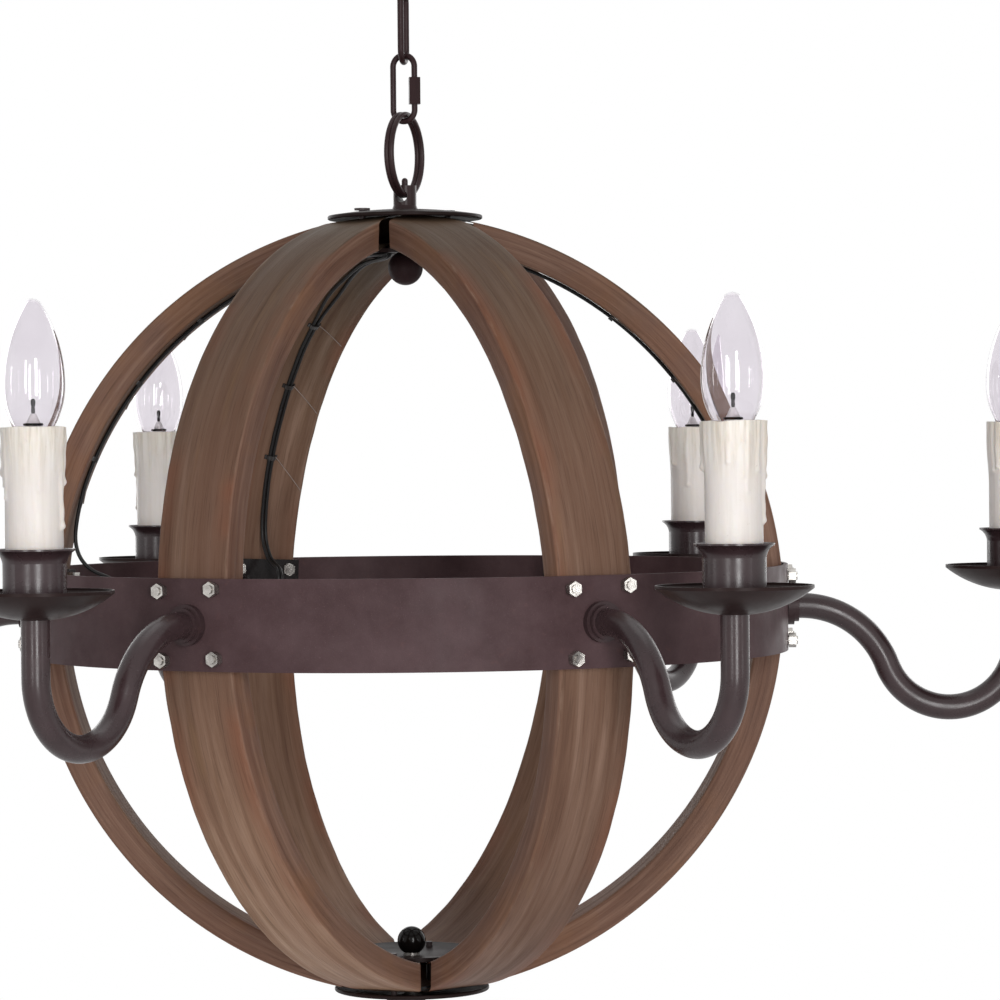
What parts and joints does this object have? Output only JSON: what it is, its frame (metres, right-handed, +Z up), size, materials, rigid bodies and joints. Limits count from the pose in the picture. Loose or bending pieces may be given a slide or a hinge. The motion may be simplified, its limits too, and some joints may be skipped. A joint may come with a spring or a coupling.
{
  "type": "orb chandelier",
  "caption": "Orb chandelier of bent wooden ribs in a flat metal band, with curved arms that carry candle lamps and a chain to hang it from.",
  "frame": {"origin": "the point in the crown of the upper chain link that bears on the ceiling hook", "axes": "+Z up; +X along the arm of rib 2, with rib 1 at -60 degrees and the others every 60 degrees anticlockwise"},
  "size_m": [0.8556, 0.7526, 0.6884],
  "materials": {
    "bronze_band": "satin bronze",
    "weathered_wood": "weathered grey-brown",
    "bronze_tube": "satin bronze",
    "bronze_dish": "satin bronze",
    "bronze_cup": "satin bronze",
    "ivory_sleeve": "wax look",
    "clear_glass": "clear",
    "bulb_cap": "nickelled",
    "socket_body": "black",
    "black_plate": "gloss black",
    "zinc_steel": "zinc plated",
    "dark_screw": "satin bronze",
    "bronze_collar": "satin bronze",
    "steel_rod": "threaded rod",
    "bronze_disc": "satin bronze",
    "bronze_ball": "satin bronze",
    "black_ball": "gloss black",
    "bronze_hanger": "satin bronze",
    "bronze_chain": "satin bronze",
    "lead_sheath": "black flexible lead",
    "clip_black": "black"
  },
  "bodies": {
    "upper_link": {"chain_link_2": "bronze_chain"},
    "lower_link": {"chain_link_1": "bronze_chain"},
    "quick_link": {"quick_link": "bronze_chain"},
    "link_nut": {"quick_link_nut": "bronze_chain"},
    "ring": {"hanging_ring": "bronze_hanger"},
    "globe": {"band": "bronze_band", "rib_1": "weathered_wood", "rib_2": "weathered_wood", "rib_3": "weathered_wood", "rib_4": "weathered_wood", "rib_5": "weathered_wood", "rib_6": "weathered_wood", "backing_plates": "black_plate", "rib_bolts": "zinc_steel", "rib_nuts": "zinc_steel", "arm_1": "bronze_tube", "arm_2": "bronze_tube", "arm_3": "bronze_tube", "arm_4": "bronze_tube", "arm_5": "bronze_tube", "arm_6": "bronze_tube", "arm_collars": "bronze_collar", "arm_lock_nuts": "bronze_collar", "arm_nipples": "steel_rod", "drip_dishes": "bronze_dish", "candle_cups": "bronze_cup", "candle_sleeve_1": "ivory_sleeve", "candle_sleeve_2": "ivory_sleeve", "candle_sleeve_3": "ivory_sleeve", "candle_sleeve_4": "ivory_sleeve", "candle_sleeve_5": "ivory_sleeve", "candle_sleeve_6": "ivory_sleeve", "lamp_sockets": "socket_body", "top_outer_disc": "bronze_disc", "top_inner_disc": "bronze_disc", "bottom_outer_disc": "bronze_disc", "bottom_inner_disc": "bronze_disc", "top_ball": "bronze_ball", "bottom_ball": "black_ball", "centre_rods": "steel_rod", "bottom_cap_nut": "bronze_disc", "hanger_block": "bronze_hanger", "hanger_screw": "bronze_hanger", "lamp_leads": "lead_sheath", "lead_clips": "clip_black", "disc_screws": "dark_screw"},
    "bulb_1": {"bulb_base_1": "bulb_cap", "bulb_glass_1": "clear_glass"},
    "bulb_2": {"bulb_base_2": "bulb_cap", "bulb_glass_2": "clear_glass"},
    "bulb_3": {"bulb_base_3": "bulb_cap", "bulb_glass_3": "clear_glass"},
    "bulb_4": {"bulb_base_4": "bulb_cap", "bulb_glass_4": "clear_glass"},
    "bulb_5": {"bulb_base_5": "bulb_cap", "bulb_glass_5": "clear_glass"},
    "bulb_6": {"bulb_base_6": "bulb_cap", "bulb_glass_6": "clear_glass"}
  },
  "joints": [
    {"name": "lower_link_swing", "type": "hinge", "parent": "upper_link", "child": "lower_link", "pos_m": [0, 0, -0.043], "axis": [0.9848, -0.1736, 0], "range_deg": [-30, 30]},
    {"name": "quick_link_swing", "type": "hinge", "parent": "lower_link", "child": "quick_link", "pos_m": [0, 0, -0.0837], "axis": [0.1736, 0.9848, 0], "range_deg": [-30, 30]},
    {"name": "link_nut_slide", "type": "slide", "parent": "quick_link", "child": "link_nut", "axis": [0, 0, 1], "range_m": [0, 0.0065]},
    {"name": "ring_swing", "type": "hinge", "parent": "quick_link", "child": "ring", "pos_m": [0, 0, -0.1213], "axis": [0.9397, -0.342, 0], "range_deg": [-30, 30]},
    {"name": "globe_swing", "type": "hinge", "parent": "ring", "child": "globe", "pos_m": [0, 0, -0.16864], "axis": [0.342, 0.9397, 0], "range_deg": [-20, 20]},
    {"name": "bulb_1_turn", "type": "hinge", "parent": "globe", "child": "bulb_1", "pos_m": [0.192, -0.33255, -0.32066], "axis": [0, 0, 1], "continuous": true},
    {"name": "bulb_2_turn", "type": "hinge", "parent": "globe", "child": "bulb_2", "pos_m": [0.384, 0, -0.32066], "axis": [0, 0, 1], "continuous": true},
    {"name": "bulb_3_turn", "type": "hinge", "parent": "globe", "child": "bulb_3", "pos_m": [0.192, 0.33255, -0.32066], "axis": [0, 0, 1], "continuous": true},
    {"name": "bulb_4_turn", "type": "hinge", "parent": "globe", "child": "bulb_4", "pos_m": [-0.192, 0.33255, -0.32066], "axis": [0, 0, 1], "continuous": true},
    {"name": "bulb_5_turn", "type": "hinge", "parent": "globe", "child": "bulb_5", "pos_m": [-0.384, 0, -0.32066], "axis": [0, 0, 1], "continuous": true},
    {"name": "bulb_6_turn", "type": "hinge", "parent": "globe", "child": "bulb_6", "pos_m": [-0.192, -0.33255, -0.32066], "axis": [0, 0, 1], "continuous": true}
  ]
}
